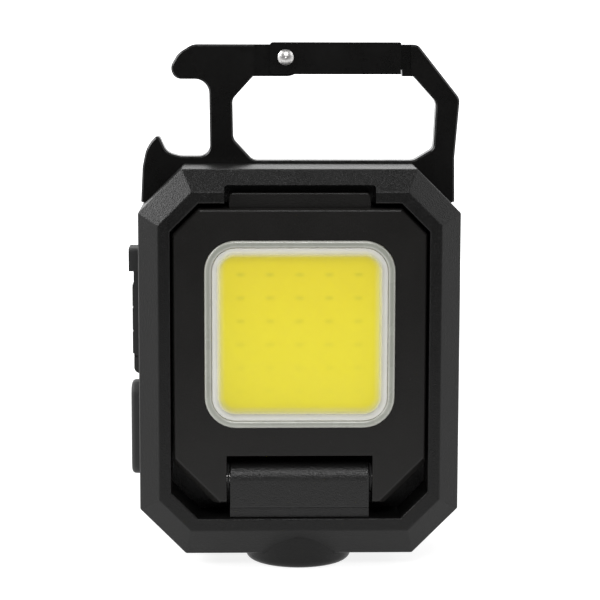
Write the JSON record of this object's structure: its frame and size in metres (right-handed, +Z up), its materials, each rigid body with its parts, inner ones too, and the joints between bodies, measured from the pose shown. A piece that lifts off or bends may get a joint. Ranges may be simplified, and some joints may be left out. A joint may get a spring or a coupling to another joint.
{
  "type": "work light",
  "caption": "Pocket rechargeable work light: square panel lamp on a tilting head, black body, carabiner and bottle-opener plate with sprung gate, round magnetic base.",
  "frame": {"origin": "centre of the round magnetic base's face", "axes": "+X to the viewer's right when the lamp faces the viewer, +Y from the lamp's face to the back, +Z up from the base to the carabiner"},
  "size_m": [0.0483, 0.024, 0.0754],
  "materials": {
    "housing_plastic": "fine spark-eroded texture",
    "head_plastic": "fine texture, slightly smoother than the housing",
    "black_plate": "satin black coating",
    "nickel": "bright nickel",
    "steel": "plain steel",
    "spring_steel": "plain spring steel",
    "clear_lens": "clear moulded polycarbonate",
    "silicone": "translucent silicone",
    "phosphor": "yellow phosphor gel",
    "led_die": "small chips under the gel",
    "dam_white": "cast white silicone dam",
    "white_board": "white solder mask on aluminium",
    "aluminium": "plain aluminium sheet",
    "button_rubber": "matte moulded rubber",
    "circuit_board": "green solder mask",
    "component_black": "moulded chips",
    "connector_white": "white nylon",
    "battery_foil": "laminated pouch foil",
    "foam": "closed-cell foam",
    "lead_jacket": "silicone wire jacket"
  },
  "bodies": {
    "body": {"front_housing": "housing_plastic", "rear_cover": "housing_plastic", "housing_screws": "steel", "base_magnet": "nickel", "carabiner_plate": "black_plate", "gate_rivet": "nickel", "gate_spring": "spring_steel", "hinge_barrel": "housing_plastic", "barrel_screws": "steel", "hinge_pin": "steel", "friction_washers": "spring_steel", "tact_switch": "component_black", "port_cover_strap": "button_rubber", "usb_socket_shell": "nickel", "usb_socket_tongue": "component_black", "control_board": "circuit_board", "board_screws": "steel", "board_parts": "component_black", "battery_connector": "connector_white", "battery": "battery_foil", "battery_pad": "foam", "battery_leads": "lead_jacket"},
    "lamp_head": {"head_bezel": "head_plastic", "head_back": "head_plastic", "head_screws": "steel", "lamp_lens": "clear_lens", "lens_gasket": "silicone", "cob_board": "white_board", "led_chips": "led_die", "cob_phosphor": "phosphor", "cob_dam": "dam_white", "heat_spreader": "aluminium"},
    "gate": {"gate": "black_plate"},
    "mode_button": {"mode_button": "button_rubber", "switch_plunger": "component_black"},
    "port_cover": {"port_cover": "button_rubber"}
  },
  "joints": [
    {"name": "head_tilt", "type": "hinge", "parent": "body", "child": "lamp_head", "pos_m": [0, -0.0059, 0.01315], "axis": [1, 0, 0], "range_deg": [0, 90]},
    {"name": "gate_swing", "type": "hinge", "parent": "body", "child": "gate", "pos_m": [-0.00185, 0.0054, 0.07325], "axis": [0, 1, 0], "range_deg": [0, 28], "stiffness_Nm_per_rad": 0.05, "springref_deg": -17.19, "deforming": ["gate_spring"]},
    {"name": "button_press", "type": "slide", "parent": "body", "child": "mode_button", "axis": [1, 0, 0], "range_m": [0, 0.0005], "stiffness_N_per_m": 2500, "springref_m": -0.0002},
    {"name": "cover_flap", "type": "hinge", "parent": "body", "child": "port_cover", "pos_m": [-0.024, 0.0029, 0.0298], "axis": [0, -1, 0], "range_deg": [0, 100]}
  ]
}
